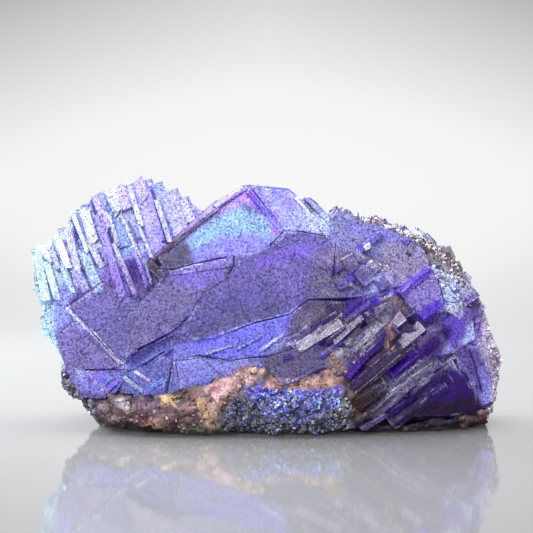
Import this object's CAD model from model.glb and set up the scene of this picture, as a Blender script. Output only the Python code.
"""Looks of the violet fluorite specimen: crystals, their crust, druse, floor, light and camera.

Sizes and places are millimetres in the part's own frame, turned into metres by MM: X to the right
of the show side, Z up from the floor, and the show side faces -Y. Bars, cracks and outlines are in
view units, five to a millimetre, counted from the left edge and from the top of the front view.
Colours in whole numbers are sRGB values from 0 to 255, and the others are linear. A pair of numbers
with a plural name is the range that a random value is drawn from.
"""

import math
import random

import bmesh
import bpy
import numpy as np
from mathutils import Matrix, Vector, noise
from mathutils.bvhtree import BVHTree


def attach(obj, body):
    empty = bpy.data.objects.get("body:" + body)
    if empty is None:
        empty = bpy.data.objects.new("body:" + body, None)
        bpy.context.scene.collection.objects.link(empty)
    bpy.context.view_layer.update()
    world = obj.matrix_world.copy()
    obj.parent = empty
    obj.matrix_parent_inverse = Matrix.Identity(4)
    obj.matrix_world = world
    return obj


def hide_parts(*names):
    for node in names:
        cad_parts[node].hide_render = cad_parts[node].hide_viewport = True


MM = 0.001
SEED = 5
GROWTH_ANGLE = math.radians(38.0)  # slope of the cubes' edges in the front view
INWARD = Vector((0.0, 1.0, 0.0))  # from the show side to the back
RAY_START = 100.0  # how far outside the part a measuring ray starts
WELD = 0.001  # points closer than this are one point

# View units
UNITS_PER_MM = 5.0
VIEW_CENTRE = 266.5
VIEW_FLOOR = 433.0

# Camera
IMAGE_UNITS = 533  # view units across the frame
LENS = 100.0
SENSOR = 36.0
CLIP_START = 10.0
CAMERA_ELEVATION = math.radians(3.0)
CAMERA_TARGET = (0.0, -10.0, 33.3)  # what is at the middle of the frame

# Surface cells: the crystals' show side, their other sides, and the crust
SHOW_CELL = 0.5
BACK_CELL = 1.7
CRUST_CELL = 0.8
SHOW_FACING = -0.2  # a face whose normal's Y is less than this is on the show side
TOP_FACING = 0.75  # and so is one whose normal's Z is more than this
SHARP_ANGLE = math.radians(24.0)
CRUST_SHARP_ANGLE = math.radians(50.0)

# Tints of single bars: colour, and how much of it covers the zone's own colour
TINTS = {
    "white": ((236, 240, 255), 0.8), "cyan": ((206, 242, 255), 0.75), "lavender": ((206, 204, 248), 0.75),
    "lilac": ((186, 162, 246), 0.7), "blue": ((136, 168, 244), 0.8), "grape": ((92, 66, 168), 0.8),
    "dusk": ((112, 98, 176), 0.7), "silver": ((150, 146, 172), 0.55), "pewter": ((116, 108, 134), 0.5),
    "slate": ((84, 80, 90), 0.6), "night": ((48, 32, 62), 0.85), "royal": ((72, 32, 150), 0.55),
    "indigo": ((50, 14, 112), 0.85), "plum": ((84, 46, 130), 0.8), "tan": ((178, 146, 122), 0.8),
    "rust": ((140, 96, 84), 0.6), "violet": ((112, 80, 214), 0.6), "umber": ((86, 58, 74), 0.85),
}

# Bars of the comb: top point, bottom point and width in view units, how far forward the top and
# the bottom lie in millimetres, roll in degrees, tint
COMB_BARS = [
    (50, 247, 58, 268, 5, 7.0, 9.2, 6, "dusk"), (64, 243, 76, 290, 6, 7.2, 9.9, -6, "dusk"),
    (68, 228, 84, 268, 6, 7.4, 9.9, 8, "grape"), (92, 236, 114, 288, 6, 7.8, 10.0, -8, "grape"),
    (104, 228, 129, 295, 6, 8.0, 10.2, 8, "grape"), (119, 238, 134, 270, 11, 8.6, 10.0, -4, "grape"),
    (129, 266, 147, 298, 11, 9.6, 10.6, 4, "plum"), (139, 240, 152, 264, 8, 8.9, 10.0, -5, "grape"),
    (34, 250, 46, 300, 9, 6.6, 9.6, 5, "cyan"), (44, 262, 56, 300, 7, 8.6, 10.0, -6, "cyan"),
    (36, 245, 50, 261, 3, 7.6, 9.0, 10, "white"), (56, 242, 67, 268, 7, 8.0, 10.0, -8, "white"),
    (63, 266, 73, 292, 6, 9.8, 10.6, 6, "cyan"), (66, 225, 79, 268, 7, 8.2, 10.6, 8, "lavender"),
    (70, 212, 86, 252, 4, 8.9, 10.6, -10, "white"), (76, 268, 88, 294, 8, 10.4, 10.9, 4, "lavender"),
    (84, 252, 98, 286, 10, 9.6, 11.0, 8, "cyan"), (87, 240, 101, 268, 7, 9.2, 10.2, -6, "lavender"),
    (84, 212, 94, 242, 10, 8.0, 9.6, 5, "white"), (94, 198, 108, 228, 9, 8.2, 9.4, -6, "lilac"),
    (98, 214, 124, 298, 8, 9.0, 11.4, 8, "lilac"), (107, 215, 117, 246, 4, 9.6, 10.6, -10, "white"),
    (115, 243, 136, 294, 4, 10.4, 11.4, 8, "lavender"), (110, 206, 128, 246, 16, 8.4, 9.8, 3, "blue"),
    (109, 192, 118, 212, 12, 8.6, 9.2, -5, "white"), (120, 186, 129, 208, 14, 8.2, 9.0, 5, "lilac"),
    (125, 220, 141, 256, 4, 9.4, 10.4, 12, "white"), (130, 193, 140, 226, 5, 9.4, 10.2, -8, "white"),
    (139, 223, 153, 257, 3, 10.0, 10.8, 10, "white"), (142, 192, 158, 245, 17, 8.6, 10.0, 4, "lilac"),
    (136, 180, 144, 200, 12, 8.4, 8.8, -4, "lilac"), (155, 200, 169, 242, 5, 9.4, 10.6, -8, "white"),
    (168, 196, 182, 234, 16, 8.2, 9.6, 5, "lavender"), (182, 204, 190, 222, 10, 7.8, 8.4, -6, "lavender"),
    (136, 252, 148, 286, 3, 10.8, 11.4, 6, "lilac"), (145, 262, 150, 284, 3, 10.9, 11.3, -8, "lavender"),
]

# Ribs of the lower right in the same form
RIDGE_BARS = [
    (343, 308, 358, 297, 6, 15.2, 14.6, 30, "violet"), (357, 298, 374, 291, 6, 14.7, 14.3, 24, "violet"),
    (372, 292, 392, 287, 5, 14.3, 13.6, 20, "violet"), (343, 317, 368, 299, 5, 16.2, 15.6, 38, "pewter"),
    (336, 337, 369, 305, 6, 15.9, 15.4, 28, "royal"), (345, 340, 357, 325, 9, 16.2, 16.0, 34, "silver"),
    (343, 357, 368, 333, 10, 16.4, 16.0, 36, "silver"), (366, 335, 384, 318, 9, 16.1, 15.6, 40, "silver"),
    (378, 318, 386, 306, 18, 15.4, 15.0, 24, "pewter"), (376, 305, 390, 297, 9, 15.3, 14.8, 30, "silver"),
    (388, 298, 404, 311, 5, 14.6, 14.2, 26, "rust"), (392, 304, 404, 318, 8, 14.3, 14.0, 20, "plum"),
    (341, 372, 364, 346, 9, 16.2, 15.9, 30, "royal"), (362, 349, 384, 329, 7, 15.9, 15.4, 32, "royal"),
    (387, 324, 389, 348, 5, 15.3, 15.3, 22, "tan"), (366, 362, 386, 346, 5, 16.0, 15.6, 36, "pewter"),
    (369, 367, 392, 350, 5, 15.4, 15.0, 30, "plum"), (347, 388, 384, 360, 8, 15.9, 15.2, 34, "night"),
    (349, 396, 382, 375, 6, 16.2, 15.6, 38, "slate"), (354, 402, 384, 382, 5, 15.9, 15.3, 30, "umber"),
    (349, 410, 362, 400, 5, 15.9, 15.6, 26, "rust"), (346, 421, 366, 406, 7, 15.6, 15.4, 36, "slate"),
    (362, 412, 386, 388, 8, 15.7, 15.0, 38, "slate"), (360, 424, 384, 408, 5, 15.2, 14.8, 30, "pewter"),
    (392, 378, 421, 356, 7, 15.2, 14.7, 30, "silver"), (390, 388, 430, 361, 8, 15.0, 14.3, 26, "silver"),
    (388, 397, 402, 387, 6, 15.0, 14.7, 34, "silver"), (415, 343, 438, 326, 9, 14.2, 13.6, 24, "pewter"),
    (391, 371, 414, 352, 8, 14.8, 14.4, 34, "royal"), (412, 354, 441, 331, 8, 14.3, 13.7, 30, "royal"),
    (387, 407, 413, 388, 6, 14.6, 14.2, 32, "indigo"), (411, 390, 446, 364, 7, 14.2, 13.4, 28, "indigo"),
    (408, 389, 430, 369, 2, 14.8, 14.2, 30, "pewter"), (388, 419, 406, 406, 4, 14.5, 14.1, 38, "pewter"),
    (404, 408, 426, 391, 4, 14.1, 13.4, 34, "slate"), (425, 393, 440, 384, 3, 13.2, 12.8, 30, "slate"),
    (318, 352, 338, 334, 5, 16.0, 15.8, 30, "violet"), (306, 346, 330, 322, 4, 16.0, 15.7, 34, "dusk"),
    (296, 344, 316, 322, 4, 15.7, 15.4, 30, "lavender"),
    (286, 340, 304, 318, 3, 15.5, 15.1, 34, "lavender"), (316, 332, 340, 314, 9, 15.8, 15.4, 20, "pewter"),
    (322, 338, 342, 322, 5, 16.2, 16.0, 30, "plum"), (397, 293, 429, 267, 6, 12.9, 12.2, 20, "violet"),
    (422, 312, 440, 300, 11, 12.8, 12.4, 10, "violet"),
]

# Steps and small blocks of the right side, and ridges on the large faces, in the same form
STEP_BARS = [
    (361, 246, 379, 233, 6, 12.4, 12.2, 12, "violet"), (363, 247, 369, 243, 5, 12.8, 12.8, 8, "white"),
    (343, 282, 357, 264, 10, 14.6, 14.2, 12, "violet"), (348, 264, 358, 255, 6, 14.4, 14.0, 10, "violet"),
    (351, 281, 364, 290, 4, 14.6, 14.2, 16, "silver"), (359, 255, 374, 262, 4, 14.2, 13.6, 18, "silver"),
    (372, 261, 390, 270, 4, 13.6, 13.2, 14, "silver"), (366, 262, 378, 268, 4, 14.0, 13.6, 10, "dusk"),
    (380, 290, 392, 280, 8, 13.8, 13.4, 12, "dusk"), (330, 270, 344, 262, 5, 14.6, 14.4, 12, "dusk"),
    (404, 242, 411, 234, 6, 10.8, 10.4, 10, "violet"), (408, 252, 414, 242, 5, 10.6, 10.2, 10, "indigo"),
    (412, 234, 430, 244, 8, 9.4, 8.8, 16, "cyan"), (430, 246, 437, 254, 8, 9.2, 8.8, 12, "umber"),
    (413, 249, 440, 264, 6, 10.4, 9.8, 18, "silver"), (449, 252, 455, 264, 8, 8.4, 8.0, 14, "umber"),
    (458, 266, 468, 288, 9, 7.6, 7.2, 12, "umber"), (472, 292, 480, 306, 9, 6.8, 6.4, 12, "umber"),
    (430, 266, 456, 278, 5, 10.0, 9.2, 16, "white"), (441, 288, 456, 300, 9, 10.6, 10.2, 10, "cyan"),
    (446, 303, 460, 312, 8, 10.8, 10.4, 14, "white"), (462, 286, 472, 292, 4, 8.0, 7.8, 12, "white"),
    (466, 312, 474, 317, 4, 9.2, 9.0, 12, "white"), (455, 290, 470, 306, 8, 9.0, 8.6, 10, "plum"),
    (68, 306, 122, 362, 2, 12.3, 13.1, 10, "lavender"), (94, 332, 122, 364, 1, 13.1, 13.3, -10, "white"),
    (151, 259, 214, 208, 3, 11.7, 12.0, 14, "umber"), (158, 256, 218, 207, 1, 12.1, 12.3, 10, "slate"),
    (216, 206, 246, 187, 2, 11.7, 10.5, 14, "dusk"), (298, 198, 318, 219, 3, 9.6, 9.9, 12, "white"),
    (303, 199, 322, 220, 1, 9.9, 10.1, -10, "slate"), (322, 227, 330, 238, 2, 10.4, 10.8, 12, "white"),
    (249, 192, 283, 230, 2, 11.5, 12.0, 14, "violet"), (150, 262, 166, 276, 8, 12.8, 13.0, 8, "umber"),
    (128, 374, 146, 388, 4, 14.6, 14.2, 20, "cyan"), (136, 372, 150, 382, 3, 14.8, 14.4, -16, "white"),
    (150, 384, 166, 374, 5, 14.7, 14.7, 18, "blue"), (108, 384, 122, 372, 4, 13.8, 13.8, -18, "blue"),
    (176, 366, 190, 388, 4, 15.4, 15.0, 18, "lavender"), (190, 362, 206, 384, 5, 15.4, 15.0, -16, "blue"),
    (210, 366, 224, 376, 4, 15.2, 15.0, 16, "lavender"), (142, 360, 162, 348, 2, 13.6, 13.6, 12, "blue"),
    (92, 372, 110, 390, 3, 13.6, 13.2, 16, "lavender"), (236, 346, 262, 332, 3, 14.9, 14.9, 14, "blue"),
    (262, 350, 284, 334, 3, 15.0, 15.0, -14, "lavender"), (206, 350, 232, 342, 2, 14.8, 14.8, 12, "cyan"),
]
TINT_FADE = 0.45  # how much of a bar's tint is gone at its lower end
TINT_TONES = (0.82, 1.2)
TINT_COVERS = (0.85, 1.0)
TINT_SLACK = 0.02  # a face this far outside a block still takes its tint
BAR_DEPTH = 4.5  # how far a bar reaches into the body
BAR_SHARE = 1.8  # a block this many times longer than wide counts as a bar
BAR_SINK = 0.5  # a bar's front lies up to this much behind the depth in its row

# Cracks in the front view, and the section of their groove in millimetres
CRACKS = [
    [(234, 256), (234, 266), (229, 273), (214, 288), (204, 291), (190, 315), (180, 325), (171, 332)],
    [(172, 359), (200, 354), (231, 359), (251, 356), (267, 355)], [(172, 340), (173, 361), (166, 390)],
    [(177, 361), (180, 379), (188, 392)], [(140, 302), (127, 354)], [(86, 369), (125, 369)],
    [(125, 356), (171, 332)], [(335, 243), (333, 275), (333, 313)], [(56, 334), (72, 320)],
    [(53, 302), (55, 293), (66, 287)], [(67, 306), (100, 283)], [(129, 370), (147, 363), (164, 351)],
    [(124, 355), (124, 377), (111, 391)], [(393, 290), (402, 298), (422, 321)], [(438, 280), (445, 308)],
    [(451, 352), (458, 369), (466, 375), (471, 387), (482, 403)], [(471, 351), (477, 367), (484, 393)],
    [(284, 231), (303, 232), (325, 236), (351, 251), (383, 262)],
    [(158, 268), (173, 269), (196, 263), (226, 257), (245, 255), (270, 246), (284, 231)],
]
CRACK_WIDTH = 0.34
CRACK_DEPTH = 0.6
CRACK_OVERLAP = 0.1  # how far a stretch of groove runs past its ends
CRACK_STEP = 1.5  # a stretch isn't cut where the surface steps by more than this

# Small broken cubes on the rim: x from and to, and count of each part
RIM_STRETCHES = [(13.0, 30.0, 22), (28.0, 44.0, 30)]
RIM_DEPTHS = (-6.5, 2.0)  # range of Y
RIM_SIZES = (1.0, 2.4)
RIM_SINK = 0.35  # how far its middle lies below the surface, as a share of its size
RIM_TILT = 14.0
RIM_TINTS = ("silver", "white", "umber", "silver", "plum")

# Crumbled edges of the outline: points along them, count, size and tint
CRUMBLED_EDGES = [
    ([(29, 256), (32, 298), (38, 318), (36, 332), (55, 352), (58, 368)], 60, 1.6, "cyan"),
    ([(30, 256), (44, 243), (62, 231), (65, 216), (82, 209), (94, 194), (113, 188), (135, 181)], 60, 1.2,
        "cyan"),
    ([(136, 181), (155, 186), (178, 199), (194, 211)], 26, 1.1, "cyan"),
    ([(58, 368), (66, 390), (84, 407), (92, 418)], 46, 1.7, "slate"),
    ([(476, 293), (484, 308), (492, 332), (500, 352), (502, 372)], 26, 1.2, "lavender"),
    ([(501, 376), (499, 394), (500, 412), (490, 421)], 24, 1.5, "umber"),
]
CRUMB_DEPTHS = (-6.0, 4.0)  # range of Y
CRUMB_INSETS = (0.5, 1.5)
CRUMB_SIDES = (0.6, 1.3)  # length of a side as a share of the size in the row
CRUMB_TILT = 30.0
BODY_MIDDLE = 22.0  # height of the point that the insets run towards

# Colour zones of the crystals, painted in this order: softness of the edge, colour, outline
ZONES = [
    (7, (176, 188, 238), [(20, 262), (43, 236), (62, 215), (81, 200), (115, 176), (136, 172), (163, 182),
        (200, 210), (185, 235), (156, 256), (150, 290), (137, 300), (100, 283), (53, 300), (20, 290)]),
    (8, (218, 242, 255), [(20, 259), (43, 236), (62, 225), (68, 246), (60, 285), (45, 310), (20, 300)]),
    (7, (200, 212, 244), [(100, 186), (136, 175), (160, 188), (150, 225), (118, 222)]),
    (6, (144, 123, 203), [(100, 262), (140, 262), (150, 290), (137, 300), (100, 285)]),
    (7, (162, 173, 234), [(150, 205), (188, 212), (175, 240), (160, 250), (150, 235)]),
    (4, (110, 91, 182), [(126, 258), (142, 262), (146, 280), (132, 282)]),
    (5, (204, 236, 251), [(20, 262), (38, 262), (52, 300), (56, 345), (66, 372), (58, 376), (44, 350),
        (25, 330)]),
    (2, (176, 183, 250), [(53, 302), (55, 293), (66, 287), (78, 286), (66, 308), (72, 320), (54, 333)]),
    (2, (130, 124, 184), [(67, 306), (100, 283), (138, 301), (124, 355), (121, 362)]),
    (2, (142, 131, 194), [(55, 334), (72, 320), (122, 363), (125, 370), (86, 370), (65, 370), (56, 345)]),
    (2, (128, 121, 172), [(138, 301), (151, 262), (172, 270), (196, 264), (226, 257), (236, 256),
        (234, 266), (224, 278), (205, 290), (190, 314), (171, 332), (124, 356)]),
    (7, (142, 127, 206), [(165, 270), (225, 258), (222, 278), (200, 290), (185, 285)]),
    (2, (84, 78, 160), [(124, 357), (170, 334), (164, 351), (147, 363), (129, 370)]),
    (4, (88, 84, 126), [(150, 258), (185, 233), (198, 262), (186, 269), (158, 270)]),
    (6, (156, 154, 249), [(190, 250), (215, 234), (240, 230), (268, 234), (286, 231), (270, 246),
        (245, 255), (226, 257), (210, 256), (196, 263)]),
    (6, (164, 206, 248), [(183, 236), (205, 214), (235, 209), (268, 215), (284, 231), (268, 236),
        (240, 233), (215, 237), (196, 250)]),
    (4, (200, 184, 252), [(152, 254), (200, 212), (247, 180), (290, 228), (272, 219), (245, 204),
        (232, 207), (205, 214), (180, 235)]),
    (3, (154, 119, 247), [(250, 186), (290, 229), (270, 222), (252, 208)]),
    (3, (174, 178, 248), [(255, 180), (298, 190), (320, 205), (334, 240), (303, 232), (285, 231)]),
    (5, (192, 204, 248), [(298, 197), (330, 212), (332, 238), (308, 230)]),
    (3, (117, 108, 175), [(234, 256), (245, 255), (270, 246), (284, 232), (303, 232), (325, 236),
        (351, 251), (383, 262), (350, 290), (306, 297), (287, 312), (229, 328), (176, 342), (171, 332),
        (190, 314), (205, 290), (224, 278), (234, 266)]),
    (9, (129, 117, 190), [(262, 255), (318, 242), (325, 262), (300, 292), (268, 292)]),
    (8, (120, 112, 160), [(312, 262), (352, 262), (372, 270), (345, 300), (308, 296)]),
    (8, (106, 103, 153), [(195, 318), (245, 300), (285, 302), (275, 314), (225, 328), (190, 336)]),
    (2, (146, 143, 246), [(176, 342), (210, 336), (229, 328), (287, 312), (297, 304), (290, 330),
        (267, 354), (231, 359), (205, 354), (172, 359)]),
    (5, (126, 116, 160), [(290, 310), (312, 297), (345, 292), (340, 310), (318, 334), (285, 348)]),
    (6, (145, 149, 200), [(330, 205), (352, 212), (400, 228), (404, 262), (383, 262), (351, 251),
        (331, 238)]),
    (6, (163, 153, 190), [(383, 240), (404, 235), (415, 253), (429, 266), (393, 290), (380, 265)]),
    (5, (172, 166, 182), [(400, 222), (436, 240), (460, 258), (475, 292), (452, 300), (429, 266),
        (412, 240)]),
    (2, (158, 144, 214), [(393, 290), (429, 267), (438, 280), (445, 308), (422, 321), (401, 298)]),
    (4, (196, 204, 228), [(441, 286), (452, 282), (468, 292), (462, 312), (448, 314)]),
    (3, (116, 90, 200), [(441, 321), (460, 306), (469, 334), (451, 352)]),
    (3, (126, 102, 172), [(417, 329), (433, 322), (441, 326), (440, 345), (416, 346)]),
    (3, (116, 98, 172), [(452, 352), (458, 342), (470, 348), (481, 350), (486, 358), (493, 377), (498, 394),
        (484, 396), (477, 392), (470, 387), (466, 375), (458, 369)]),
    (4, (206, 197, 226), [(484, 300), (520, 340), (520, 420), (492, 400), (492, 377), (486, 357),
        (481, 345)]),
    (4, (52, 6, 118), [(404, 384), (440, 358), (458, 369), (466, 375), (471, 387), (478, 392), (482, 403),
        (486, 415), (470, 432), (380, 440), (388, 412)]),
    (7, (42, 8, 70), [(425, 400), (478, 400), (484, 412), (470, 435), (420, 435), (390, 420)]),
    (4, (84, 68, 112), [(300, 304), (345, 300), (393, 288), (401, 298), (422, 321), (417, 345), (440, 360),
        (404, 386), (388, 412), (352, 420), (340, 396), (343, 362), (318, 345)]),
    (3, (120, 112, 140), [(371, 297), (385, 293), (398, 300), (405, 310), (390, 320), (368, 318)]),
    (5, (96, 66, 140), [(343, 370), (372, 341), (384, 330), (382, 342), (352, 384)]),
    (3, (156, 144, 224), [(84, 370), (125, 370), (124, 377), (111, 394), (92, 388)]),
    (4, (126, 128, 198), [(125, 372), (171, 340), (176, 395), (130, 396), (111, 393)]),
    (4, (156, 157, 224), [(172, 340), (205, 354), (231, 359), (262, 356), (250, 372), (200, 385),
        (176, 392)]),
    (4, (118, 112, 150), [(262, 356), (290, 340), (318, 345), (343, 362), (330, 372), (263, 380)]),
]
# Narrow bands of colour: start and end in view units, width, softness, colour
STRIPES = [
    (286, 356, 372, 303, 7, 2.5, (88, 52, 162)), (297, 322, 318, 309, 12, 3, (122, 116, 142)),
    (314, 334, 332, 314, 12, 3, (80, 56, 116)), (334, 356, 384, 321, 12, 2.5, (182, 180, 200)),
    (340, 358, 386, 326, 3, 1.5, (92, 70, 140)), (353, 361, 411, 310, 7, 2, (78, 38, 158)),
    (396, 320, 408, 340, 14, 4, (74, 38, 122)), (388, 326, 391, 345, 5, 2, (180, 142, 118)),
    (393, 371, 448, 331, 11, 3, (62, 18, 124)), (392, 391, 452, 358, 13, 3, (150, 144, 176)),
    (398, 386, 446, 360, 3, 1.5, (96, 78, 130)), (425, 317, 441, 303, 13, 2.5, (110, 80, 218)),
    (343, 313, 392, 290, 7, 2, (96, 64, 200)), (399, 291, 429, 269, 7, 2, (120, 90, 216)),
    (378, 295, 392, 296, 5, 2, (192, 184, 194)), (392, 296, 406, 312, 4, 2, (142, 112, 120)),
    (346, 400, 384, 372, 4, 1.5, (58, 50, 64)), (340, 410, 382, 384, 3, 1.5, (122, 114, 122)),
    (346, 416, 392, 392, 4, 1.5, (52, 44, 60)), (352, 424, 396, 400, 3, 1.5, (128, 120, 130)),
    (339, 412, 356, 400, 4, 2, (150, 106, 92)), (190, 230, 248, 194, 5, 2.5, (196, 164, 252)),
    (250, 194, 276, 232, 6, 2.5, (186, 132, 252)), (172, 246, 192, 232, 5, 3, (118, 92, 170)),
    (92, 376, 118, 384, 12, 5, (146, 132, 232)), (130, 366, 164, 384, 5, 3, (150, 160, 226)),
    (168, 398, 174, 394, 7, 3, (206, 178, 140)), (330, 356, 342, 366, 8, 4, (168, 136, 122)),
    (222, 394, 240, 372, 12, 4, (196, 152, 150)), (241, 372, 252, 366, 7, 3, (206, 172, 140)),
    (440, 336, 446, 350, 5, 2.5, (150, 142, 190)), (446, 300, 458, 288, 9, 4, (176, 190, 244)),
    (446, 310, 462, 304, 7, 3, (224, 224, 236)), (470, 300, 486, 336, 8, 4, (142, 104, 190)),
    (486, 330, 500, 372, 5, 2.5, (214, 206, 232)), (484, 372, 494, 404, 7, 3, (150, 146, 226)),
    (262, 262, 304, 250, 9, 6, (136, 112, 210)), (196, 316, 262, 292, 14, 9, (108, 104, 168)),
    (330, 258, 372, 262, 8, 4, (158, 146, 180)), (350, 226, 396, 240, 8, 5, (148, 140, 214)),
    (296, 350, 344, 320, 10, 2, (112, 102, 138)), (396, 322, 404, 316, 10, 2, (104, 92, 132)),
    (404, 344, 424, 325, 9, 2, (118, 106, 150)), (404, 408, 440, 384, 4, 2, (94, 76, 150)),
    (259, 200, 272, 226, 4, 3, (156, 200, 252)), (274, 190, 290, 204, 9, 6, (150, 138, 246)),
    (238, 200, 249, 193, 5, 3, (188, 132, 250)), (318, 256, 344, 250, 10, 6, (138, 128, 176)),
    (316, 282, 342, 272, 5, 3, (130, 122, 156)), (322, 290, 334, 298, 4, 2.5, (148, 142, 160)),
    (410, 424, 470, 402, 14, 5, (40, 14, 62)),
]
# Colours of the back: the base, then colour, the waves that carry it, and the value where it begins
BACK_COLOUR = (118, 106, 176)
BACK_CLOUDS = [((152, 150, 222), "clouds", -0.1), ((186, 196, 240), "bands", 0.15),
               ((92, 74, 150), "gaps", 0.25)]
BACK_FADE = 0.5  # a colour is full where its waves are this much past that value
EDGE_COLOUR = (226, 232, 252)
CREASE_COLOUR = (58, 44, 84)
WORN_SHARE = 0.45  # strength of the light colour on worn outer edges
FRESH_SHARE = 0.35  # strength of the dark colour on the other outer edges
CREASE_SHARE = 0.75  # strength of the dark colour in inner corners
EDGE_ANGLES = (0.3, 0.9)  # radians where the marks begin and where they are full
WAVE_SHIFT = (7.3, 3.1, 5.7)  # steps between the waves of one seed and the next
WAVE_GAIN = 1.6
# Blue that deeper_blue leaves in a colour
BLUE_GAIN = 1.06
BLUE_POWER = 1.2

# Crust: its swelling, lumps and pits, and its colours in the same form as the crystals'
CRUST_SWELL = 0.3
LUMP_SIZE = 2.4
LUMP_HEIGHT = 0.7
LUMP_NOISE = (0.7, 2.1, 5)  # smoothness, step from one octave to the next, octaves
PIT_SIZE = 1.5
PIT_DEPTH = 0.5
CRUST_TONE = 0.72  # brightness of all its colours
CRUST_COLOUR = (99, 82, 88)
CRUST_CLOUDS = [((74, 62, 66), -0.2), ((140, 120, 112), 0.35)]
CRUST_FADE = 0.4
CRUST_ZONES = [
    (5, (60, 56, 66), [(55, 365), (80, 392), (100, 402), (96, 425), (60, 400)]),
    (6, (104, 78, 84), [(110, 394), (150, 396), (190, 392), (196, 432), (120, 432)]),
    (4, (196, 162, 166), [(205, 385), (224, 375), (241, 367), (262, 361), (258, 372), (232, 392),
        (200, 420)]),
    (4, (166, 130, 140), [(263, 385), (272, 376), (312, 374), (333, 363), (341, 365), (333, 378),
        (307, 386), (277, 389)]),
    (4, (160, 124, 114), [(302, 388), (325, 378), (345, 361), (350, 372), (330, 388)]),
    (4, (58, 62, 74), [(226, 396), (339, 390), (339, 430), (226, 430)]),
    (4, (92, 88, 84), [(185, 418), (226, 416), (226, 430), (185, 430)]),
    (5, (44, 26, 54), [(352, 412), (478, 408), (478, 440), (352, 440)]),
    (4, (104, 76, 84), [(472, 405), (510, 400), (510, 440), (478, 440)]),
]
CRUST_STRIPES = [
    (96, 404, 110, 416, 12, 4, (146, 124, 138)), (118, 402, 132, 405, 8, 2, (184, 174, 184)),
    (138, 400, 158, 404, 10, 4, (112, 88, 118)), (138, 412, 152, 418, 9, 3, (104, 54, 70)),
    (152, 419, 164, 422, 7, 3, (208, 166, 146)), (168, 398, 176, 396, 9, 3, (214, 184, 136)),
    (178, 396, 202, 416, 5, 2, (88, 56, 64)), (188, 404, 196, 392, 7, 3, (168, 122, 124)),
    (203, 398, 212, 422, 9, 3, (212, 172, 132)), (214, 388, 234, 376, 9, 3, (200, 152, 160)),
    (226, 402, 244, 376, 4, 1.5, (100, 72, 74)), (246, 368, 258, 364, 7, 3, (220, 188, 150)),
    (180, 426, 226, 426, 3, 1.5, (118, 114, 98)), (291, 382, 298, 377, 6, 2, (220, 184, 132)),
    (304, 384, 330, 376, 6, 2.5, (188, 148, 124)), (330, 376, 346, 364, 5, 2, (164, 132, 118)),
    (270, 382, 288, 384, 6, 3, (176, 130, 146)), (376, 432, 470, 430, 2, 1.5, (116, 82, 84)),
    (466, 420, 488, 412, 8, 3, (150, 116, 118)), (240, 398, 300, 394, 8, 4, (84, 92, 150)),
    (246, 384, 262, 380, 5, 2.5, (96, 92, 170)), (262, 388, 340, 386, 4, 2.5, (98, 90, 178)),
]

# Strewn crystals: outline, count, smallest and largest size in millimetres, flatness, colours.
# Grains of flatness 1 lie in any direction, and flatter ones nearly in the cubes' direction.
STREWN = {
    "foot_druse": ([(224, 404), (240, 394), (262, 391), (300, 392), (330, 388), (348, 396), (352, 408),
        (346, 426), (300, 431), (226, 430)], 3200, (0.22, 0.56), 1.0, [(52, 54, 62), (66, 70, 86),
        (96, 98, 124), (108, 104, 106), (40, 40, 48), (136, 132, 132), (82, 88, 150), (32, 32, 40),
        (116, 114, 152)]),
    "blue_druse": ([(244, 386), (262, 384), (290, 388), (340, 384), (340, 402), (322, 414), (296, 420),
        (268, 412)], 1500, (0.2, 0.55), 1.0, [(92, 96, 204), (78, 68, 184), (128, 146, 232),
        (150, 184, 242), (66, 56, 146), (104, 92, 200), (58, 56, 90)]),
    "rim_sugar": ([(354, 215), (372, 218), (410, 232), (434, 242), (446, 251), (456, 264), (468, 286),
        (463, 288), (444, 262), (432, 250), (408, 237), (384, 226), (354, 218)], 620, (0.2, 0.6), 0.8,
        [(172, 166, 174), (130, 122, 134), (104, 92, 106), (214, 208, 214), (78, 58, 78), (142, 134, 146),
        (94, 68, 94)]),
    "rim_flecks": ([(430, 264), (456, 276), (462, 306), (446, 314), (441, 290)], 110, (0.25, 0.7), 0.7,
        [(222, 226, 238), (180, 188, 222), (140, 150, 214), (120, 112, 150)]),
    "right_edge_sugar": ([(488, 322), (500, 350), (506, 366), (500, 412), (491, 420), (497, 384),
        (491, 352)], 420, (0.25, 0.7), 0.9, [(190, 180, 204), (146, 130, 162), (120, 98, 118),
        (212, 206, 220)]),
    "left_edge_druse": ([(54, 366), (66, 374), (80, 396), (96, 402), (95, 422), (84, 412), (60, 388)], 900,
        (0.3, 0.9), 1.0, [(60, 56, 68), (88, 82, 98), (40, 36, 46), (128, 124, 138), (104, 96, 120)]),
    "rose_chips": ([(92, 400), (132, 396), (172, 394), (200, 390), (216, 388), (212, 404), (222, 428),
        (150, 430), (112, 420), (92, 418)], 380, (0.2, 0.6), 0.6, [(84, 62, 70), (70, 54, 66),
        (104, 78, 80), (128, 104, 100), (92, 86, 98), (62, 48, 64), (140, 120, 118)]),
    "cream_crumbs": ([(200, 420), (224, 376), (262, 361), (256, 372), (232, 394), (206, 424)], 150,
        (0.2, 0.55), 0.6, [(170, 144, 140), (190, 166, 156), (150, 118, 116), (176, 148, 122),
        (120, 100, 128)]),
    "rose_crumbs": ([(262, 386), (272, 376), (312, 374), (338, 363), (348, 366), (334, 378), (300, 388)],
        200, (0.2, 0.55), 0.6, [(150, 120, 126), (170, 138, 116), (158, 112, 94), (124, 96, 112),
        (100, 84, 136)]),
    "ridge_crumbs": ([(328, 346), (346, 348), (366, 336), (372, 344), (350, 366), (334, 364)], 60,
        (0.2, 0.4), 0.7, [(150, 128, 116), (120, 110, 124), (160, 122, 92)]),
    "plateau_flecks": ([(356, 253), (392, 268), (394, 276), (370, 268)], 60, (0.2, 0.5), 0.5,
        [(176, 168, 186), (140, 130, 160)]),
}
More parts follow.
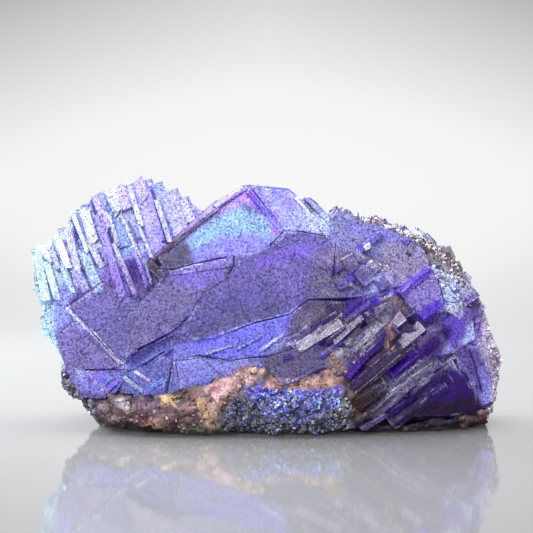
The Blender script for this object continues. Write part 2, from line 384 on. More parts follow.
GRAIN_SIDES = (0.7, 1.3)  # length of a side as a share of the grain's size
GRAIN_TONES = (0.75, 1.25)
GRAIN_TILT = 35.0
GRAIN_SINK = 0.4  # largest share of a grain's thickness that its middle is sunk by
GRAIN_LIFT = 0.6  # share of a grain's size that its middle stays above the floor
TRIES = 12  # random places tried for each place wanted
SPECKS = [(90.0, 337.5), (142.0, 349.0)]  # view places of two orange grains
SPECK_SIZE = 0.42
SPECK_TILT = 20.0
SPECK_COLOUR = (128, 48, 26)
CORNERS = [(x, y, z) for x in (-0.5, 0.5) for y in (-0.5, 0.5) for z in (-0.5, 0.5)]
SIDES = [(0, 1, 3, 2), (4, 6, 7, 5), (0, 4, 5, 1), (2, 3, 7, 6), (0, 2, 6, 4), (1, 5, 7, 3)]

# Fluorite
REFRACTION = 1.434
TRANSMISSION = 0.55
SPECULAR_LEVEL = 0.26
ABSORBED = (0.58, 0.42, 0.92, 1.0)  # what the volume lets through
ABSORPTION = 60.0
DEEPENING = 1.22  # gamma that deepens the painted colours
BLUE_TONE = 0.98
SPARKLE = (2.1, 2.1, 1.8, 1.0)  # brightness of the lit grains
SPARKLE_RANGE = (0.58, 0.7)  # noise values where they begin and where they are full
SPARKLE_COVER = 0.55

# Floor and wall: floor edge, start and radius of the turn up, its steps, top of the wall
FLOOR_FRONT = -2600.0
FLOOR_BACK = 180.0
TURN_RADIUS = 260.0
TURN_STEPS = 16
WALL_TOP = 900.0
STAGE_HALF_WIDTH = 1800.0
FLOOR_COLOUR = (105, 105, 106)
FLOOR_ROUGHNESS = 0.06
BLACK = (0.0, 0.0, 0.0, 1.0)
FLOOR_FADE = (-50.0, 300.0)  # where the floor turns into the glowing wall
# Glow on the wall: half width, half height, height of its middle, and greys from there outwards
GLOW_HALF_WIDTH = 340.0
GLOW_HALF_HEIGHT = 130.0
GLOW_HEIGHT = 50.0
GLOW_REACH = 1.05
GLOW_STOPS = [(0.0, 248), (0.35, 243), (0.68, 215), (1.0, 184)]

# Lights: place, point aimed at, width and length, power in watts, colour
LIGHTS = {
    "top": ((0, 30, 380), (0, 0, 20), (360, 260), 4.2, (1.0, 1.0, 1.0)),
    "left_back": ((-300, 140, 200), (-20, 0, 30), (180, 180), 4.4, (0.88, 0.97, 1.0)),
    "front": ((-120, -420, 300), (0, 0, 25), (300, 240), 3.4, (1.0, 1.0, 1.0)),
}
ROOM_COLOUR = (0.93, 0.95, 1.0, 1.0)
ROOM_STRENGTH = 0.42

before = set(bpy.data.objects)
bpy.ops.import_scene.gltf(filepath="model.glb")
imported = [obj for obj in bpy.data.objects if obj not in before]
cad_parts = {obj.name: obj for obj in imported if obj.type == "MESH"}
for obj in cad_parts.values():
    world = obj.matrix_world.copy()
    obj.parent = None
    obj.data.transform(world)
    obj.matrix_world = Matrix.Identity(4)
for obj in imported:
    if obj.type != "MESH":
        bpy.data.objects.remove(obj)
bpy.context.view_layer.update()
random_source = random.Random(SEED)
noise_source = np.random.default_rng(SEED)


# Meshes

def make_object(name, mesh):
    piece = bpy.data.objects.new(name, mesh)
    bpy.context.scene.collection.objects.link(piece)
    return piece


def shape_of(mesh):
    """An editable copy of a mesh."""
    shape = bmesh.new()
    shape.from_mesh(mesh)
    return shape


def write_back(shape, mesh):
    shape.to_mesh(mesh)
    shape.free()
    return mesh


def mesh_of(shape, name):
    return write_back(shape, bpy.data.meshes.new(name))


def read_rows(items, key):
    """One property of all vertices or faces, in rows of three numbers."""
    values = np.empty(len(items) * 3)
    items.foreach_get(key, values)
    return values.reshape(-1, 3)


def settle(piece):
    """Turn a piece and its modifiers into a plain mesh."""
    bpy.context.view_layer.update()
    evaluated = piece.evaluated_get(bpy.context.evaluated_depsgraph_get())
    mesh = bpy.data.meshes.new_from_object(evaluated)
    piece.modifiers.clear()
    piece.data = mesh


def node_copy(node, name):
    """A copy of a frame node as one joined-up mesh."""
    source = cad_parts[node]
    shape = shape_of(source.data)
    shape.transform(source.matrix_world)
    bmesh.ops.remove_doubles(shape, verts=shape.verts, dist=WELD * MM)
    return make_object(name, mesh_of(shape, name))


def dress(piece, material, sharp_angle):
    """Smooth all but the sharp edges and give the piece one material."""
    piece.data.shade_smooth()
    piece.data.set_sharp_from_angle(angle=sharp_angle)
    piece.data.materials.clear()
    piece.data.materials.append(material)


def between(limits):
    return random_source.uniform(*limits)


def growth_turn(tilt):
    """The crystals' common direction, up to a number of degrees off it."""
    angles = [math.radians(between((-tilt, tilt))) for _ in range(3)]
    turn = Matrix.Rotation(angles[0] - GROWTH_ANGLE, 3, "Y")
    return turn @ Matrix.Rotation(angles[1], 3, "X") @ Matrix.Rotation(angles[2], 3, "Z")


def is_bar(sides):
    return sides[0] > BAR_SHARE * sides[2]


def add_block(centre, sides, turn, group):
    """A small block; a bar has slanting ends and a slightly sunk front."""
    shape = bmesh.new()
    bmesh.ops.create_cube(shape, size=1.0)
    if is_bar(sides):
        slants = [between((-1.0, 1.0)) * sides[2] / sides[0] for _ in range(2)]
        sink = between((0.4, 1.0)) * BAR_SINK / sides[1]
        for vertex in shape.verts:
            slant = slants[0] if vertex.co.x < 0 else slants[1]
            vertex.co.x += slant * vertex.co.z
            if vertex.co.y < 0:
                vertex.co.y += sink
    sizes = Matrix.Diagonal((sides[0] * MM, sides[1] * MM, sides[2] * MM, 1.0))
    shape.transform(Matrix.Translation(Vector(centre) * MM) @ turn.to_4x4() @ sizes)
    group.objects.link(bpy.data.objects.new("fine", mesh_of(shape, "fine")))


def view_to_mm(across, down):
    return (across - VIEW_CENTRE) / UNITS_PER_MM, (VIEW_FLOOR - down) / UNITS_PER_MM


def slanting_bar(row):
    """Place, sides, turn and tint of the bar that a row describes."""
    across0, down0, across1, down1, width, forward0, forward1, roll, tint = row
    x0, z0 = view_to_mm(across0, down0)
    x1, z1 = view_to_mm(across1, down1)
    start = Vector((x0, -forward0, z0))
    end = Vector((x1, -forward1, z1))
    run = end - start
    along = run.normalized()
    side = along.cross(INWARD).normalized()
    inward = side.cross(along)
    if inward.y < 0:
        inward, side = -inward, -side
    turn = Matrix((along, inward, side)).transposed() @ Matrix.Rotation(math.radians(roll), 3, "X")
    centre = (start + end) / 2 + inward * BAR_DEPTH / 2
    return centre, (run.length, BAR_DEPTH, width / UNITS_PER_MM), turn, tint


def surface_tree(mesh):
    shape = shape_of(mesh)
    tree = BVHTree.FromBMesh(shape)
    shape.free()
    return tree


def front_at(trees, x, z):
    """Depth of the nearest surface met at x, z from the front."""
    start = Vector((x * MM, -RAY_START * MM, z * MM))
    hits = [tree.ray_cast(start, INWARD)[0] for tree in trees]
    depths = [hit.y / MM for hit in hits if hit]
    return min(depths) if depths else None


def top_at(tree, x, y):
    hit = tree.ray_cast(Vector((x * MM, y * MM, RAY_START * MM)), Vector((0.0, 0.0, -1.0)))[0]
    return hit.z / MM if hit else None


def crumbled_edge(points, count, size, tint):
    """Small tilted blocks strewn along a line of the outline."""
    blocks = []
    lengths = [math.dist(start, end) for start, end in zip(points, points[1:])]
    for number in range(count):
        place = (number + random_source.random()) / count * sum(lengths)
        segment = 0
        while segment < len(lengths) - 1 and place > lengths[segment]:
            place -= lengths[segment]
            segment += 1
        share = min(1.0, place / lengths[segment])
        start, end = points[segment], points[segment + 1]
        x, z = view_to_mm(start[0] + (end[0] - start[0]) * share, start[1] + (end[1] - start[1]) * share)
        inset = Vector((-x, 0.0, BODY_MIDDLE - z)).normalized()
        centre = Vector((x, between(CRUMB_DEPTHS), z)) + inset * between(CRUMB_INSETS)
        sides = [size * between(CRUMB_SIDES) for _ in range(3)]
        blocks.append((centre, sides, growth_turn(CRUMB_TILT), tint))
    return blocks


def rim_cubes(tree, low, high, count):
    """Small cubes standing on a stretch of the rim."""
    blocks = []
    for _ in range(count):
        x = between((low, high))
        y = between(RIM_DEPTHS)
        z = top_at(tree, x, y)
        size = between(RIM_SIZES)
        tint = random_source.choice(RIM_TINTS)
        if z is not None:
            blocks.append((Vector((x, y, z - size * RIM_SINK)), (size,) * 3, growth_turn(RIM_TILT), tint))
    return blocks


def fine_blocks(tree):
    """Bars, ribs and small cubes finer than the frame's own: place, sides, turn, tint."""
    blocks = [slanting_bar(row) for row in COMB_BARS + RIDGE_BARS + STEP_BARS]
    for row in CRUMBLED_EDGES:
        blocks += crumbled_edge(*row)
    for row in RIM_STRETCHES:
        blocks += rim_cubes(tree, *row)
    return blocks


def block_group(blocks):
    group = bpy.data.collections.new("fine")
    for centre, sides, turn, _ in blocks:
        add_block(centre, sides, turn, group)
    return group


def groove(start, end):
    """Three-sided wedge along one stretch of a crack, its keel sunk in the surface."""
    along = (end - start).normalized()
    side = along.cross(INWARD).normalized() * CRACK_WIDTH / 2
    keel = INWARD * CRACK_DEPTH
    shape = bmesh.new()
    rings = []
    for foot in (start - along * CRACK_OVERLAP, end + along * CRACK_OVERLAP):
        corners = (foot + side * 3 - keel * 2, foot - side * 3 - keel * 2, foot + keel)
        rings.append([shape.verts.new(corner * MM) for corner in corners])
    shape.faces.new(rings[0])
    shape.faces.new(rings[1][::-1])
    for this, following in ((0, 1), (1, 2), (2, 0)):
        shape.faces.new((rings[0][this], rings[1][this], rings[1][following], rings[0][following]))
    bmesh.ops.recalc_face_normals(shape, faces=shape.faces)
    return mesh_of(shape, "crack")


def crack_group(tree):
    """Grooves along the cracks, wherever the surface has no step."""
    group = bpy.data.collections.new("cracks")
    for line in CRACKS:
        for stretch in zip(line, line[1:]):
            flat = [view_to_mm(across, down) for across, down in stretch]
            depths = [front_at([tree], x, z) for x, z in flat]
            if None in depths or abs(depths[0] - depths[1]) > CRACK_STEP:
                continue
            ends = [Vector((x, y, z)) for (x, z), y in zip(flat, depths)]
            group.objects.link(bpy.data.objects.new("crack", groove(*ends)))
    return group


def add_boolean(piece, group, operation):
    step = piece.modifiers.new(operation.lower(), "BOOLEAN")
    step.operation = operation
    step.solver = "EXACT"
    step.operand_type = "COLLECTION"
    step.collection = group


def cut_between(shape, faces, axis, planes):
    """Cut faces by every plane across an axis, halving the work list at each cut."""
    if not planes or not faces:
        return faces
    middle = len(planes) // 2
    plane = planes[middle]
    normal = Vector((0.0, 0.0, 0.0))
    normal[axis] = 1.0
    crossing = []
    lower = []
    upper = []
    for face in faces:
        values = [vertex.co[axis] for vertex in face.verts]
        if max(values) <= plane:
            lower.append(face)
        elif min(values) >= plane:
            upper.append(face)
        else:
            crossing.append(face)
    if crossing:
        parts = dict.fromkeys(part for face in crossing for part in (*face.verts, *face.edges, face))
        made = bmesh.ops.bisect_plane(shape, geom=list(parts), dist=WELD * MM,
                                      plane_co=normal * plane, plane_no=normal)
        for item in made["geom"]:
            if isinstance(item, bmesh.types.BMFace):
                side = lower if item.calc_center_median()[axis] < plane else upper
                side.append(item)
    return (cut_between(shape, lower, axis, planes[:middle])
            + cut_between(shape, upper, axis, planes[middle + 1:]))


def cut_into_cells(shape, faces, axes, cell):
    for axis in axes:
        values = [vertex.co[axis] for vertex in shape.verts]
        low, high = min(values), max(values)
        count = max(1, round((high - low) / (cell * MM)))
        planes = [low + (high - low) * cut / count for cut in range(1, count)]
        faces = cut_between(shape, faces, axis, planes)


def on_show(face):
    """True for a face that the front view shows well."""
    return face.normal.y < SHOW_FACING or face.normal.z > TOP_FACING


def refine(mesh):
    """Give the flat faces enough points to carry colour, most of them on the show side."""
    shape = shape_of(mesh)
    shape.normal_update()
    show = [face for face in shape.faces if on_show(face)]
    rest = [face for face in shape.faces if not on_show(face)]
    cut_into_cells(shape, show, (0, 2), SHOW_CELL)
    cut_into_cells(shape, rest, (0, 1, 2), BACK_CELL)
    bmesh.ops.triangulate(shape, faces=[face for face in shape.faces if len(face.verts) > 4])
    write_back(shape, mesh)


# Colour zones

def linear(colour):
    """Linear values of an sRGB colour given from 0 to 255."""
    values = np.asarray(colour, dtype=float) / 255.0
    return np.where(values <= 0.04045, values / 12.92, ((values + 0.055) / 1.055) ** 2.4)


def deeper_blue(colours):
    """Hold the blue back in the dark zones and keep it full in the light ones."""
    blue = BLUE_GAIN * np.clip(colours[..., 2:], 0.0, 1.0) ** BLUE_POWER
    return np.concatenate((colours[..., :2], blue), axis=-1)


def smooth_step(values, low, high):
    share = np.clip((values - low) / (high - low), 0.0, 1.0)
    return share * share * (3.0 - 2.0 * share)


def run_distance(points, start, end):
    """Distance of points from the straight line between two places."""
    run = end - start
    share = np.clip(((points - start) @ run) / max(run @ run, 1e-9), 0.0, 1.0)
    return np.linalg.norm(points - start - share[:, None] * run, axis=1)


def inside_depth(points, outline):
    """Distance of points inside an outline from it, negative outside."""
    corners = np.asarray(outline, dtype=float)
    distance = np.full(len(points), 1e9)
    crossings = np.zeros(len(points), dtype=int)
    for start, end in zip(corners, np.roll(corners, -1, axis=0)):
        distance = np.minimum(distance, run_distance(points, start, end))
        run = end - start
        spans = (start[1] > points[:, 1]) != (end[1] > points[:, 1])
        height = run[1] if abs(run[1]) > 1e-9 else 1e-9
        meets = points[:, 0] < (points[:, 1] - start[1]) / height * run[0] + start[0]
        crossings += spans & meets
    return np.where(crossings % 2 == 1, distance, -distance)


def wave_field(points, size, seed):
    """Smooth random values of about -1 to 1 at points in millimetres."""
    offset = Vector([seed * shift for shift in WAVE_SHIFT])
    return WAVE_GAIN * np.array([noise.noise(Vector(point) / size + offset) for point in points])


def rippled_places(points, ripple, size, seed):
    """View places of points, shifted by small waves so that no border is ruled."""
    across = VIEW_CENTRE + UNITS_PER_MM * points[:, 0] + ripple * wave_field(points, size, seed)
    down = VIEW_FLOOR - UNITS_PER_MM * points[:, 2] + ripple * wave_field(points, size, seed + 1)
    return np.stack([across, down], axis=1)


def blend(base, colour, share):
    """Linear base colours, with a share of another colour laid over them."""
    return base * (1 - share[:, None]) + linear(colour) * share[:, None]


def paint_front(base, places, zones, stripes):
    for softness, colour, outline in zones:
        base = blend(base, colour, smooth_step(inside_depth(places, outline), -softness, softness))
    for across0, down0, across1, down1, width, softness, colour in stripes:
        ends = np.array((across0, down0), float), np.array((across1, down1), float)
        depth = width / 2 - run_distance(places, *ends)
        base = blend(base, colour, smooth_step(depth, -softness, softness))
    return base


def join_sides(points, back, front, low, high):
    """Front colours on the show side and back colours behind, mixed from low to high."""
    share = smooth_step(-points[:, 1], low, high)[:, None]
    return back * (1 - share) + front * share


def straight_ramp(value, low, high):
    return min(1.0, max(0.0, (value - low) / (high - low)))


def edge_marks(mesh):
    """Marks from 0 to 1 on the points of sharp outer edges and of sharp inner corners."""
    shape = shape_of(mesh)
    outer = np.zeros(len(shape.verts))
    inner = np.zeros(len(shape.verts))
    for edge in shape.edges:
        if len(edge.link_faces) == 2:
            angle = edge.calc_face_angle_signed(0.0)
            marks = outer if angle > 0 else inner
            strength = straight_ramp(abs(angle), *EDGE_ANGLES)
            for vertex in edge.verts:
                marks[vertex.index] = max(marks[vertex.index], strength)
    shape.free()
    return outer, inner


def write_colour(mesh, name, values):
    layer = mesh.color_attributes.new(name, "FLOAT_COLOR", "POINT")
    block = np.ones((len(values), 4))
    block[:, :3] = values
    layer.data.foreach_set("color", block.ravel())


def base_colours(points, colour):
    return np.zeros((len(points), 3)) + linear(colour)


def colour_crystals(mesh):
    points = read_rows(mesh.vertices, "co") / MM
    places = rippled_places(points, ripple=2.0, size=1.6, seed=1)
    clouds = wave_field(points, size=9.0, seed=3)
    bands = wave_field(points, size=4.0, seed=4)
    fields = {"clouds": clouds, "bands": bands, "gaps": -clouds}
    back = base_colours(points, BACK_COLOUR)
    for colour, field, low in BACK_CLOUDS:
        back = blend(back, colour, smooth_step(fields[field], low, low + BACK_FADE))
    front = paint_front(back, places, ZONES, STRIPES)
    result = join_sides(points, back, front, low=-3.0, high=3.0)
    outer, inner = edge_marks(mesh)
    worn = smooth_step(bands, -0.1, 0.5)
    result = blend(result, EDGE_COLOUR, outer * WORN_SHARE * worn)
    result = blend(result, CREASE_COLOUR, outer * FRESH_SHARE * (1 - worn))
    result = blend(result, CREASE_COLOUR, inner * CREASE_SHARE)
    write_colour(mesh, "zone", deeper_blue(result))


def tint_faces(mesh, blocks):
    """Tint the faces that belong to a block: colour and cover, for each face."""
    centres = read_rows(mesh.polygons, "center") / MM
    values = np.zeros((len(centres), 4))
    for centre, sides, turn, tint in blocks:
        near = np.nonzero(np.all(np.abs(centres - np.array(centre)) < max(sides), axis=1))[0]
        local = (centres[near] - np.array(centre)) @ np.array(turn)
        slant = sides[2] / 2 if is_bar(sides) else 0.0
        reach = np.array(sides) / 2 + np.array((slant, 0.0, 0.0)) + TINT_SLACK
        inside = np.all(np.abs(local) <= reach, axis=1)
        colour, cover = TINTS[tint]
        tone = between(TINT_TONES)
        along = np.clip(local[inside][:, 0] / sides[0] + 0.5, 0.0, 1.0)
        values[near[inside], :3] = deeper_blue(linear(colour) * tone)
        values[near[inside], 3] = cover * (1.0 - TINT_FADE * along) * between(TINT_COVERS)
    layer = mesh.attributes.new("tint", "FLOAT_COLOR", "FACE")
    layer.data.foreach_set("color", values.ravel())


# Materials

class Nodes:
    """Short ways to add shader nodes to a new material, with noise sizes in millimetres."""

    def __init__(self, name):
        self.material = bpy.data.materials.new(name)
        self.material.use_nodes = True
        self.tree = self.material.node_tree
        self.surface = self.tree.nodes["Principled BSDF"]
        self.output = self.tree.nodes["Material Output"]
        self.place = self.tree.nodes.new("ShaderNodeTexCoord").outputs["Object"]

    def put(self, value, socket):
        """Link an output to an input socket, or give the socket a plain value."""
        if isinstance(value, bpy.types.NodeSocket):
            self.tree.links.new(value, socket)
        else:
            socket.default_value = value

    def finish(self, inputs):
        """Set inputs of the surface and give back the material."""
        for name, value in inputs.items():
            self.put(value, self.surface.inputs[name])
        return self.material

    def add(self, kind, inputs=None, **settings):
        node = self.tree.nodes.new(kind)
        for key, value in settings.items():
            setattr(node, key, value)
        for key, value in (inputs or {}).items():
            self.put(value, node.inputs[key])
        return node

    def noise(self, size, detail=2.0, roughness=0.5):
        """Noise whose lumps measure about the given size."""
        inputs = {"Vector": self.place, "Scale": 1.0 / (size * MM), "Detail": detail,
                  "Roughness": roughness}
        return self.add("ShaderNodeTexNoise", inputs).outputs["Fac"]

    def scaled(self, value, low, high, to_low, to_high):
        inputs = {"Value": value, "From Min": low, "From Max": high, "To Min": to_low, "To Max": to_high}
        return self.add("ShaderNodeMapRange", inputs).outputs["Result"]

    def varied(self, low, high, size, detail=2.0, roughness=0.5):
        """Noise spread out between two values."""
        return self.scaled(self.noise(size, detail, roughness), 0.3, 0.7, low, high)

    def math(self, operation, first, second=0.0):
        return self.add("ShaderNodeMath", {0: first, 1: second}, operation=operation).outputs[0]

    def mix(self, share, first, second, blend_type="MIX"):
        inputs = {0: share, 6: first, 7: second}
        return self.add("ShaderNodeMix", inputs, data_type="RGBA", blend_type=blend_type).outputs[2]

    def zone(self):
        """The painted colour of each point."""
        return self.add("ShaderNodeVertexColor", layer_name="zone").outputs["Color"]

    def toned(self, colour, tone, blue_tone=None):
        """A colour whose brightness is multiplied by a tone."""
        inputs = {"X": tone, "Y": tone, "Z": blue_tone or tone}
        tones = self.add("ShaderNodeCombineXYZ", inputs).outputs[0]
        return self.mix(1.0, colour, tones, "MULTIPLY")

    def ramp(self, value, stops):
        """Greys from 0 to 255 along a value."""
        node = self.add("ShaderNodeValToRGB", {"Fac": value})
        elements = node.color_ramp.elements
        while len(elements) < len(stops):
            elements.new(0.5)
        for element, (place, grey) in zip(elements, stops):
            element.position = place
            element.color = (*linear((grey,) * 3), 1.0)
        return node.outputs["Color"]

    def bump(self, height, depth, strength, base=None):
        inputs = {"Height": height, "Distance": depth * MM, "Strength": strength}
        if base:
            inputs["Normal"] = base
        return self.add("ShaderNodeBump", inputs).outputs["Normal"]


def fluorite_material():
    nodes = Nodes("fluorite")
    tone = nodes.math("MULTIPLY", nodes.varied(0.22, 2.0, size=0.38, detail=1.0, roughness=0.7),
                      nodes.varied(0.84, 1.26, size=3.2, detail=4.0, roughness=0.6))
    blue_tone = nodes.math("MULTIPLY", tone, BLUE_TONE)
    tint = nodes.add("ShaderNodeAttribute", attribute_name="tint")
    painted = nodes.mix(tint.outputs["Alpha"], nodes.zone(), tint.outputs["Color"])
    deep = nodes.add("ShaderNodeGamma", {"Color": painted, "Gamma": DEEPENING}).outputs["Color"]
    lit = nodes.mix(1.0, painted, SPARKLE, "MULTIPLY")
    sparkle = nodes.scaled(nodes.noise(size=0.33, detail=0.0), *SPARKLE_RANGE, 0.0, SPARKLE_COVER)
    broad = nodes.bump(nodes.noise(size=1.1, detail=3.0, roughness=0.55), depth=0.12, strength=0.5)
    fine = nodes.bump(nodes.noise(size=0.2, roughness=0.6), depth=0.03, strength=0.5, base=broad)
    absorption = nodes.add("ShaderNodeVolumeAbsorption", {"Color": ABSORBED, "Density": ABSORPTION})
    nodes.put(absorption.outputs[0], nodes.output.inputs["Volume"])
    return nodes.finish({"Base Color": nodes.mix(sparkle, nodes.toned(deep, tone, blue_tone), lit),
                         "Roughness": nodes.varied(0.12, 0.4, size=0.8, detail=3.0), "Normal": fine,
                         "Transmission Weight": TRANSMISSION, "IOR": REFRACTION,
                         "Specular IOR Level": SPECULAR_LEVEL})


def crust_material():
    nodes = Nodes("crust")
    tone = nodes.math("MULTIPLY", nodes.varied(0.6, 1.4, size=0.3, roughness=0.6),
                      nodes.varied(0.75, 1.25, size=1.6, detail=3.0, roughness=0.6))
    broad = nodes.bump(nodes.noise(size=0.9, detail=4.0, roughness=0.6), depth=0.25, strength=0.8)
    fine = nodes.bump(nodes.noise(size=0.22, roughness=0.6), depth=0.06, strength=0.8, base=broad)
    return nodes.finish({"Base Color": nodes.toned(nodes.zone(), tone),
                         "Roughness": nodes.varied(0.45, 0.9, size=0.7), "Normal": fine})


def druse_material():
    nodes = Nodes("druse")
    return nodes.finish({"Base Color": nodes.toned(nodes.zone(), nodes.varied(0.7, 1.3, size=0.4)),
                         "Roughness": nodes.varied(0.12, 0.45, size=0.5),
                         "Normal": nodes.bump(nodes.noise(size=0.15), depth=0.02, strength=0.6)})


def sweep_material():
    """Grey floor that passes into a wall that glows most behind the specimen."""
    nodes = Nodes("pale_sweep")
    place = nodes.add("ShaderNodeSeparateXYZ", {0: nodes.place}).outputs
    across = nodes.math("MULTIPLY", place["X"], 1.0 / (GLOW_HALF_WIDTH * MM))
    rise = nodes.math("MULTIPLY", nodes.math("SUBTRACT", place["Z"], GLOW_HEIGHT * MM),
                      1.0 / (GLOW_HALF_HEIGHT * MM))
    squares = nodes.math("ADD", nodes.math("MULTIPLY", across, across), nodes.math("MULTIPLY", rise, rise))
    corner = nodes.math("ABSOLUTE", nodes.math("MULTIPLY", across, rise))
    reach = nodes.math("ADD", nodes.math("SQRT", squares), corner)
    fade = {"Value": place["Y"], "From Min": FLOOR_FADE[0] * MM, "From Max": FLOOR_FADE[1] * MM}
    far = nodes.add("ShaderNodeMapRange", fade, interpolation_type="SMOOTHSTEP").outputs["Result"]
    glow = nodes.ramp(nodes.scaled(reach, 0.0, GLOW_REACH, 0.0, 1.0), GLOW_STOPS)
    return nodes.finish({"Base Color": nodes.mix(far, (*linear(FLOOR_COLOUR), 1.0), BLACK),
                         "Emission Color": glow, "Emission Strength": far,
                         "Roughness": nodes.scaled(far, 0.0, 1.0, FLOOR_ROUGHNESS, 1.0),
                         "Specular IOR Level": nodes.scaled(far, 0.0, 1.0, 1.0, 0.0)})


# Crystals and crust

def build_crystals():
    crystals = node_copy("fluorite_cluster", "fluorite_crystals")
    blocks = fine_blocks(surface_tree(crystals.data))
    add_boolean(crystals, block_group(blocks), "UNION")
    settle(crystals)
    add_boolean(crystals, crack_group(surface_tree(crystals.data)), "DIFFERENCE")
    settle(crystals)
    refine(crystals.data)
    colour_crystals(crystals.data)
    tint_faces(crystals.data, blocks)
    dress(crystals, fluorite_material(), SHARP_ANGLE)
    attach(crystals, "root")
    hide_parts("fluorite_cluster")
    return crystals


def roughen(mesh):
    """Swell a mesh a little, with lumps and pits, and leave its underside flat."""
    points = read_rows(mesh.vertices, "co") / MM
    normals = read_rows(mesh.vertices, "normal")
    lumps = np.array([noise.fractal(Vector(point) / LUMP_SIZE, *LUMP_NOISE) for point in points])
    pits = np.array([noise.cell(Vector(point) / PIT_SIZE) for point in points])
    move = CRUST_SWELL * 0.5 + LUMP_HEIGHT * lumps + PIT_DEPTH * (pits - 0.5)
    points += normals * (move * smooth_step(points[:, 2], 0.0, 1.0))[:, None]
    points[:, 2] = np.maximum(points[:, 2], 0.0)
    mesh.vertices.foreach_set("co", (points * MM).ravel())
    mesh.update()


def colour_crust(mesh):
    points = read_rows(mesh.vertices, "co") / MM
    places = rippled_places(points, ripple=3.0, size=1.3, seed=6)
    clouds = wave_field(points, size=3.0, seed=8)
    back = base_colours(points, CRUST_COLOUR)
    for colour, low in CRUST_CLOUDS:
        back = blend(back, colour, smooth_step(clouds, low, low + CRUST_FADE))
    front = paint_front(back, places, CRUST_ZONES, CRUST_STRIPES)
    result = join_sides(points, back, front, low=-2.0, high=4.0)
    write_colour(mesh, "zone", result * CRUST_TONE)


def build_crust():
    crust = node_copy("matrix_crust", "iron_crust")
    shape = shape_of(crust.data)
    bmesh.ops.triangulate(shape, faces=shape.faces)
    cut_into_cells(shape, list(shape.faces), (0, 1, 2), CRUST_CELL)
    bmesh.ops.triangulate(shape, faces=shape.faces)
    write_back(shape, crust.data)
    roughen(crust.data)
    colour_crust(crust.data)
    dress(crust, crust_material(), CRUST_SHARP_ANGLE)
    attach(crust, "root")
    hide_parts("matrix_crust")
    return crust


# Druse, sugar and chips

def random_turn():
    angles = [between((-math.pi, math.pi)) for _ in range(3)]
    return (Matrix.Rotation(angles[0], 3, "X") @ Matrix.Rotation(angles[1], 3, "Y")
            @ Matrix.Rotation(angles[2], 3, "Z"))


def places_in(outline, count):
    """Random places inside an outline in view units."""
    corners = np.asarray(outline, dtype=float)
    low, high = corners.min(axis=0), corners.max(axis=0)
    places = low + noise_source.random((count * TRIES, 2)) * (high - low)
    return places[inside_depth(places, outline) > 0][:count]


def grains_piece(name, grains, material):
    """One piece of small blocks: place, sides, turn and colour of each."""
    vertices = []
    faces = []
    colours = []
    for centre, sides, turn, colour in grains:
        first = len(vertices)
        for corner in CORNERS:
            offset = turn @ Vector([share * side for share, side in zip(corner, sides)])
            vertices.append(tuple((centre + offset) * MM))
        faces += [tuple(first + index for index in side) for side in SIDES]
        colours += [colour] * len(CORNERS)
    mesh = bpy.data.meshes.new(name)
    mesh.from_pydata(vertices, [], faces)
    write_colour(mesh, "zone", np.array(colours))
    mesh.materials.append(material)
    piece = make_object(name, mesh)
    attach(piece, "root")


def build_strewn(trees, material):
    for name, (outline, count, (smallest, largest), flatness, palette) in STREWN.items():
        grains = []
        for across, down in places_in(outline, count):
            x, z = view_to_mm(across, down)
            y = front_at(trees, x, z)
            if y is None:
                continue
            size = smallest + (largest - smallest) * random_source.random() ** 2
            sides = [size * between(GRAIN_SIDES) for _ in range(3)]
            sides[1] *= flatness
            colour = linear(random_source.choice(palette)) * between(GRAIN_TONES)
            turn = random_turn() if flatness == 1.0 else growth_turn(GRAIN_TILT)
            centre = Vector((x, y + sides[1] * between((0.0, GRAIN_SINK)), max(z, size * GRAIN_LIFT)))
            grains.append((centre, sides, turn, colour))
        grains_piece(name, grains, material)


def build_specks(trees, material):
    grains = []
    for across, down in SPECKS:
        x, z = view_to_mm(across, down)
        centre = Vector((x, front_at(trees, x, z), z))
        grains.append((centre, (SPECK_SIZE,) * 3, growth_turn(SPECK_TILT), linear(SPECK_COLOUR)))
    grains_piece("orange_specks", grains, material)


# Stage, light and camera

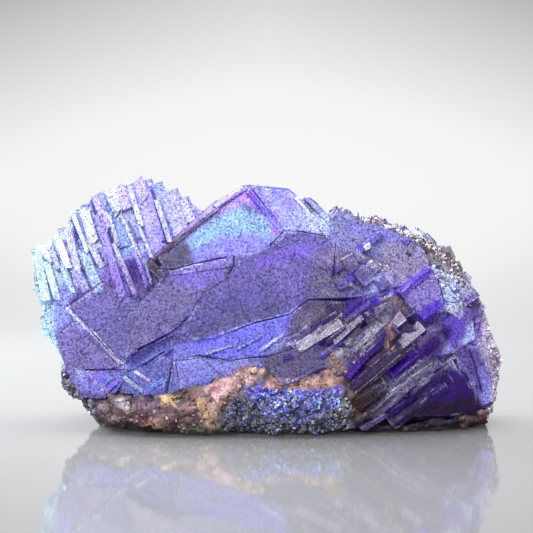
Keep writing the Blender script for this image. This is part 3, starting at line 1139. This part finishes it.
def sweep_profile():
    """Floor, a round turn up and the wall behind, as depth and height."""
    points = [(FLOOR_FRONT, 0.0), (FLOOR_BACK, 0.0)]
    for step in range(1, TURN_STEPS + 1):
        angle = math.radians(90.0 * step / TURN_STEPS)
        points.append((FLOOR_BACK + TURN_RADIUS * math.sin(angle), TURN_RADIUS * (1 - math.cos(angle))))
    points.append((FLOOR_BACK + TURN_RADIUS, WALL_TOP))
    return points


def add_stage():
    shape = bmesh.new()
    rows = []
    for depth, height in sweep_profile():
        ends = [Vector((side * STAGE_HALF_WIDTH, depth, height)) * MM for side in (-1, 1)]
        rows.append([shape.verts.new(end) for end in ends])
    for first, second in zip(rows, rows[1:]):
        shape.faces.new((first[0], first[1], second[1], second[0]))
    stage = make_object("floor_and_wall", mesh_of(shape, "floor_and_wall"))
    stage.data.shade_smooth()
    stage.data.materials.append(sweep_material())


def add_lights():
    world = bpy.data.worlds.new("soft_room")
    world.use_nodes = True
    background = world.node_tree.nodes["Background"]
    background.inputs["Color"].default_value = ROOM_COLOUR
    background.inputs["Strength"].default_value = ROOM_STRENGTH
    bpy.context.scene.world = world
    for name, (place, target, size, power, colour) in LIGHTS.items():
        light = bpy.data.lights.new(name, "AREA")
        light.shape = "RECTANGLE"
        light.size = size[0] * MM
        light.size_y = size[1] * MM
        light.energy = power
        light.color = colour
        lamp = make_object(name, light)
        lamp.location = Vector(place) * MM
        lamp.rotation_euler = (Vector(place) - Vector(target)).to_track_quat("Z", "Y").to_euler()


def add_camera():
    camera_data = bpy.data.cameras.new("camera")
    camera_data.lens = LENS
    camera_data.sensor_width = SENSOR
    camera_data.clip_start = CLIP_START * MM
    camera = make_object("camera", camera_data)
    distance = IMAGE_UNITS / UNITS_PER_MM * LENS / SENSOR
    offset = Vector((0.0, -math.cos(CAMERA_ELEVATION), math.sin(CAMERA_ELEVATION))) * distance
    camera.location = (Vector(CAMERA_TARGET) + offset) * MM
    camera.rotation_euler = (math.pi / 2 - CAMERA_ELEVATION, 0.0, 0.0)
    bpy.context.scene.camera = camera


crystals = build_crystals()
crust = build_crust()
surfaces = [surface_tree(crystals.data), surface_tree(crust.data)]
grain_material = druse_material()
build_strewn(surfaces, grain_material)
build_specks(surfaces, grain_material)
add_stage()
add_lights()
add_camera()
bpy.context.scene.view_settings.view_transform = "Standard"
